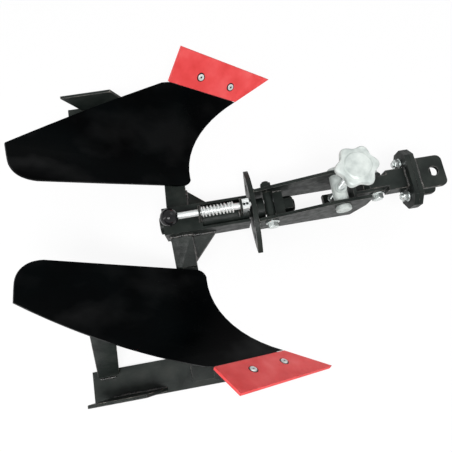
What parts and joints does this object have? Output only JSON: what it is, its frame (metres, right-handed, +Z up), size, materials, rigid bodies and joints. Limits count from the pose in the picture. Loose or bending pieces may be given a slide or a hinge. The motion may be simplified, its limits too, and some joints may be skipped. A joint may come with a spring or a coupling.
{
  "type": "reversible moldboard plough for a walking tractor",
  "caption": "Reversible moldboard plough with mirrored bottoms that turn over about a sprung-pin lock, on a pinned hitch with a handwheel screw for depth.",
  "frame": {"origin": "centre of the outline on the floor it lies on, z = 0 at the landsides' soles", "axes": "+X forward along the turnover axis to the hitch, +Y to the left bottom, +Z up"},
  "size_m": [0.7148, 0.6134, 0.2174],
  "materials": {
    "red_paint": "semi-gloss red paint",
    "black_gloss": "glossy black enamel",
    "frame_paint": "semi-gloss black paint",
    "zinc": "bright zinc plating",
    "cast_alloy": "sand-cast, tumbled",
    "black_plastic": "glossy"
  },
  "bodies": {
    "plough_body": {"share_left": "red_paint", "share_right": "red_paint", "moldboard_left": "black_gloss", "moldboard_right": "black_gloss", "landside_left": "frame_paint", "landside_right": "frame_paint", "heel_fin_left": "frame_paint", "heel_fin_right": "frame_paint", "leg_left": "frame_paint", "leg_right": "frame_paint", "gusset_left": "frame_paint", "gusset_right": "frame_paint", "frog_left": "frame_paint", "frog_right": "frame_paint", "brace_left": "frame_paint", "brace_right": "frame_paint", "turnover_housing": "frame_paint", "pin_guide_rear": "frame_paint", "pin_guide_front": "frame_paint", "pin_sleeve": "zinc", "pin_spring": "zinc"},
    "lock_pin": {"lock_pin": "zinc", "pin_collar": "zinc", "pin_knob": "black_plastic"},
    "hitch_frame": {"turnover_shaft": "frame_paint", "lock_plate": "frame_paint", "shaft_boss": "frame_paint", "shaft_block": "frame_paint", "shaft_nut": "frame_paint", "frame_arm_left": "frame_paint", "frame_arm_right": "frame_paint", "rear_cross_bolt": "zinc", "cross_bolt_spacer": "frame_paint", "pivot_bracket": "frame_paint", "front_cross_bolt": "zinc", "screw_trunnion": "cast_alloy"},
    "screw_foot": {"screw_foot": "zinc"},
    "handwheel": {"depth_screw": "zinc", "handwheel": "cast_alloy"},
    "drawbar": {"drawbar": "frame_paint", "drawbar_flange": "frame_paint"},
    "fork": {"fork_flange": "frame_paint", "fork_plate_upper": "frame_paint", "fork_plate_lower": "frame_paint", "flange_bolt_left": "zinc", "flange_bolt_right": "zinc"}
  },
  "joints": [
    {"name": "turnover", "type": "hinge", "parent": "plough_body", "child": "hitch_frame", "pos_m": [-0.06939, 0, 0.05], "axis": [1, 0, 0], "range_deg": [-90, 90]},
    {"name": "depth_tilt", "type": "hinge", "parent": "hitch_frame", "child": "drawbar", "pos_m": [0.23661, 0, 0.093], "axis": [0, 1, 0], "range_deg": [-6, 6]},
    {"name": "fork_roll", "type": "hinge", "parent": "drawbar", "child": "fork", "pos_m": [0.30111, 0, 0.093], "axis": [1, 0, 0], "range_deg": [-10, 10]},
    {"name": "foot_slide", "type": "slide", "parent": "hitch_frame", "child": "screw_foot", "axis": [0, 0, 1], "range_m": [-0.0075, 0.0075]},
    {"name": "screw_turn", "type": "hinge", "parent": "screw_foot", "child": "handwheel", "pos_m": [0.17061, 0, 0.15], "axis": [0, 0, 1], "continuous": true},
    {"name": "pin_slide", "type": "slide", "parent": "plough_body", "child": "lock_pin", "axis": [1, 0, 0], "range_m": [0, 0.01], "deforming": ["pin_spring"]}
  ],
  "couplings": [
    {"joint": "foot_slide", "follows": "depth_tilt", "m_per_rad": 0.066}
  ]
}
